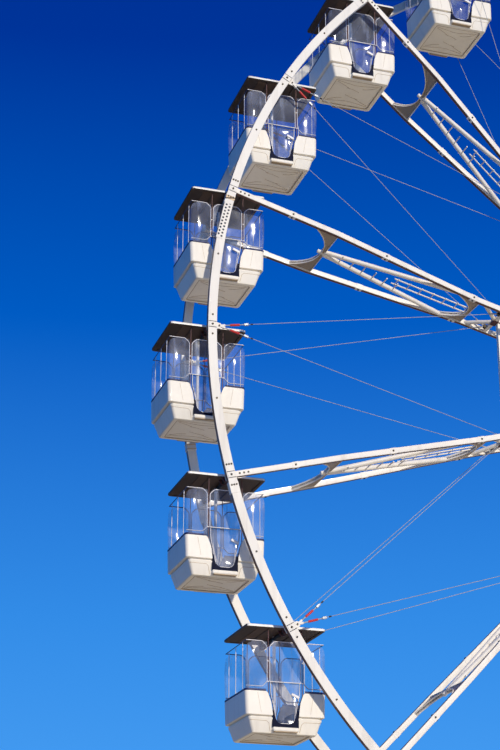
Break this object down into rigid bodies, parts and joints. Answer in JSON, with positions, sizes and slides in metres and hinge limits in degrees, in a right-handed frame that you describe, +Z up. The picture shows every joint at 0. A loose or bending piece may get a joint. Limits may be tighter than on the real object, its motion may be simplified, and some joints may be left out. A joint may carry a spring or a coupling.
{
  "type": "ferris wheel",
  "caption": "Transportable ferris wheel with flat truss spokes, twin rims and level hanging cabins between them, on a braced steel tower with a boarding platform.",
  "frame": {"origin": "on the ground, below the middle of the axle", "axes": "+Z up; the wheel turns about +Y; the front with the boarding platform faces -Y"},
  "size_m": [30.71, 8.92, 31.77],
  "materials": {
    "wheel_paint": "cream-white gloss paint over steel box sections",
    "tower_paint": "cream-white paint over steel",
    "cabin_shell": "cream gelcoat over moulded shell",
    "clear_sheet": "clear curved plastic sheet with glare",
    "cable_steel": "galvanised wire rope and fittings",
    "galvanised": "hot-dip galvanised steel and tread plate",
    "drive_grey": "grey machine paint"
  },
  "bodies": {
    "tower": {"tower_front": "tower_paint", "tower_back": "tower_paint", "ground_beam_front": "tower_paint", "ground_beam_back": "tower_paint", "cross_beam_left": "tower_paint", "cross_beam_right": "tower_paint", "platform_deck": "galvanised", "steps_left": "galvanised", "steps_right": "galvanised", "handrail": "galvanised", "drive_unit": "drive_grey"},
    "wheel": {"rim_front": "wheel_paint", "rim_back": "wheel_paint", "hub": "wheel_paint", "spoke_01": "wheel_paint", "spoke_02": "wheel_paint", "spoke_03": "wheel_paint", "spoke_04": "wheel_paint", "spoke_05": "wheel_paint", "spoke_06": "wheel_paint", "spoke_07": "wheel_paint", "spoke_08": "wheel_paint", "spoke_09": "wheel_paint", "spoke_10": "wheel_paint", "spoke_11": "wheel_paint", "spoke_12": "wheel_paint", "stays_front": "cable_steel", "stays_back": "cable_steel"},
    "cabin_01": {"cabin_01": "cabin_shell"},
    "cabin_02": {"cabin_02": "cabin_shell"},
    "cabin_03": {"cabin_03": "cabin_shell"},
    "cabin_04": {"cabin_04": "cabin_shell"},
    "cabin_05": {"cabin_05": "cabin_shell"},
    "cabin_06": {"cabin_06": "cabin_shell"},
    "cabin_07": {"cabin_07": "cabin_shell"},
    "cabin_08": {"cabin_08": "cabin_shell"},
    "cabin_09": {"cabin_09": "cabin_shell"},
    "cabin_10": {"cabin_10": "cabin_shell"},
    "cabin_11": {"cabin_11": "cabin_shell"},
    "cabin_12": {"cabin_12": "cabin_shell"},
    "cabin_13": {"cabin_13": "cabin_shell"},
    "cabin_14": {"cabin_14": "cabin_shell"},
    "cabin_15": {"cabin_15": "cabin_shell"},
    "cabin_16": {"cabin_16": "cabin_shell"},
    "cabin_17": {"cabin_17": "cabin_shell"},
    "cabin_18": {"cabin_18": "cabin_shell"},
    "cabin_19": {"cabin_19": "cabin_shell"},
    "cabin_20": {"cabin_20": "cabin_shell"},
    "cabin_21": {"cabin_21": "cabin_shell"},
    "cabin_22": {"cabin_22": "cabin_shell"},
    "cabin_23": {"cabin_23": "cabin_shell"},
    "cabin_24": {"cabin_24": "cabin_shell"},
    "boarding_door": {"boarding_door": "clear_sheet"}
  },
  "joints": [
    {"name": "wheel_spin", "type": "hinge", "parent": "tower", "child": "wheel", "pos_m": [0, 0, 17.26], "axis": [0, 1, 0], "continuous": true},
    {"name": "cabin_01_swing", "type": "hinge", "parent": "wheel", "child": "cabin_01", "pos_m": [0, 0, 2.86], "axis": [0, 1, 0], "continuous": true},
    {"name": "cabin_02_swing", "type": "hinge", "parent": "wheel", "child": "cabin_02", "pos_m": [-3.72699, 0, 3.35067], "axis": [0, 1, 0], "continuous": true},
    {"name": "cabin_03_swing", "type": "hinge", "parent": "wheel", "child": "cabin_03", "pos_m": [-7.2, 0, 4.78923], "axis": [0, 1, 0], "continuous": true},
    {"name": "cabin_04_swing", "type": "hinge", "parent": "wheel", "child": "cabin_04", "pos_m": [-10.18234, 0, 7.07766], "axis": [0, 1, 0], "continuous": true},
    {"name": "cabin_05_swing", "type": "hinge", "parent": "wheel", "child": "cabin_05", "pos_m": [-12.47077, 0, 10.06], "axis": [0, 1, 0], "continuous": true},
    {"name": "cabin_06_swing", "type": "hinge", "parent": "wheel", "child": "cabin_06", "pos_m": [-13.90933, 0, 13.53301], "axis": [0, 1, 0], "continuous": true},
    {"name": "cabin_07_swing", "type": "hinge", "parent": "wheel", "child": "cabin_07", "pos_m": [-14.4, 0, 17.26], "axis": [0, 1, 0], "continuous": true},
    {"name": "cabin_08_swing", "type": "hinge", "parent": "wheel", "child": "cabin_08", "pos_m": [-13.90933, 0, 20.98699], "axis": [0, 1, 0], "continuous": true},
    {"name": "cabin_09_swing", "type": "hinge", "parent": "wheel", "child": "cabin_09", "pos_m": [-12.47077, 0, 24.46], "axis": [0, 1, 0], "continuous": true},
    {"name": "cabin_10_swing", "type": "hinge", "parent": "wheel", "child": "cabin_10", "pos_m": [-10.18234, 0, 27.44234], "axis": [0, 1, 0], "continuous": true},
    {"name": "cabin_11_swing", "type": "hinge", "parent": "wheel", "child": "cabin_11", "pos_m": [-7.2, 0, 29.73077], "axis": [0, 1, 0], "continuous": true},
    {"name": "cabin_12_swing", "type": "hinge", "parent": "wheel", "child": "cabin_12", "pos_m": [-3.72699, 0, 31.16933], "axis": [0, 1, 0], "continuous": true},
    {"name": "cabin_13_swing", "type": "hinge", "parent": "wheel", "child": "cabin_13", "pos_m": [0, 0, 31.66], "axis": [0, 1, 0], "continuous": true},
    {"name": "cabin_14_swing", "type": "hinge", "parent": "wheel", "child": "cabin_14", "pos_m": [3.72699, 0, 31.16933], "axis": [0, 1, 0], "continuous": true},
    {"name": "cabin_15_swing", "type": "hinge", "parent": "wheel", "child": "cabin_15", "pos_m": [7.2, 0, 29.73077], "axis": [0, 1, 0], "continuous": true},
    {"name": "cabin_16_swing", "type": "hinge", "parent": "wheel", "child": "cabin_16", "pos_m": [10.18234, 0, 27.44234], "axis": [0, 1, 0], "continuous": true},
    {"name": "cabin_17_swing", "type": "hinge", "parent": "wheel", "child": "cabin_17", "pos_m": [12.47077, 0, 24.46], "axis": [0, 1, 0], "continuous": true},
    {"name": "cabin_18_swing", "type": "hinge", "parent": "wheel", "child": "cabin_18", "pos_m": [13.90933, 0, 20.98699], "axis": [0, 1, 0], "continuous": true},
    {"name": "cabin_19_swing", "type": "hinge", "parent": "wheel", "child": "cabin_19", "pos_m": [14.4, 0, 17.26], "axis": [0, 1, 0], "continuous": true},
    {"name": "cabin_20_swing", "type": "hinge", "parent": "wheel", "child": "cabin_20", "pos_m": [13.90933, 0, 13.53301], "axis": [0, 1, 0], "continuous": true},
    {"name": "cabin_21_swing", "type": "hinge", "parent": "wheel", "child": "cabin_21", "pos_m": [12.47077, 0, 10.06], "axis": [0, 1, 0], "continuous": true},
    {"name": "cabin_22_swing", "type": "hinge", "parent": "wheel", "child": "cabin_22", "pos_m": [10.18234, 0, 7.07766], "axis": [0, 1, 0], "continuous": true},
    {"name": "cabin_23_swing", "type": "hinge", "parent": "wheel", "child": "cabin_23", "pos_m": [7.2, 0, 4.78923], "axis": [0, 1, 0], "continuous": true},
    {"name": "cabin_24_swing", "type": "hinge", "parent": "wheel", "child": "cabin_24", "pos_m": [3.72699, 0, 3.35067], "axis": [0, 1, 0], "continuous": true},
    {"name": "door_swing", "type": "hinge", "parent": "cabin_01", "child": "boarding_door", "pos_m": [-0.365, -0.76, 1.6], "axis": [0, 0, 1], "range_deg": [0, 90]}
  ],
  "couplings": [
    {"joint": "cabin_01_swing", "follows": "wheel_spin", "ratio": -1},
    {"joint": "cabin_02_swing", "follows": "wheel_spin", "ratio": -1},
    {"joint": "cabin_03_swing", "follows": "wheel_spin", "ratio": -1},
    {"joint": "cabin_04_swing", "follows": "wheel_spin", "ratio": -1},
    {"joint": "cabin_05_swing", "follows": "wheel_spin", "ratio": -1},
    {"joint": "cabin_06_swing", "follows": "wheel_spin", "ratio": -1},
    {"joint": "cabin_07_swing", "follows": "wheel_spin", "ratio": -1},
    {"joint": "cabin_08_swing", "follows": "wheel_spin", "ratio": -1},
    {"joint": "cabin_09_swing", "follows": "wheel_spin", "ratio": -1},
    {"joint": "cabin_10_swing", "follows": "wheel_spin", "ratio": -1},
    {"joint": "cabin_11_swing", "follows": "wheel_spin", "ratio": -1},
    {"joint": "cabin_12_swing", "follows": "wheel_spin", "ratio": -1},
    {"joint": "cabin_13_swing", "follows": "wheel_spin", "ratio": -1},
    {"joint": "cabin_14_swing", "follows": "wheel_spin", "ratio": -1},
    {"joint": "cabin_15_swing", "follows": "wheel_spin", "ratio": -1},
    {"joint": "cabin_16_swing", "follows": "wheel_spin", "ratio": -1},
    {"joint": "cabin_17_swing", "follows": "wheel_spin", "ratio": -1},
    {"joint": "cabin_18_swing", "follows": "wheel_spin", "ratio": -1},
    {"joint": "cabin_19_swing", "follows": "wheel_spin", "ratio": -1},
    {"joint": "cabin_20_swing", "follows": "wheel_spin", "ratio": -1},
    {"joint": "cabin_21_swing", "follows": "wheel_spin", "ratio": -1},
    {"joint": "cabin_22_swing", "follows": "wheel_spin", "ratio": -1},
    {"joint": "cabin_23_swing", "follows": "wheel_spin", "ratio": -1},
    {"joint": "cabin_24_swing", "follows": "wheel_spin", "ratio": -1}
  ]
}
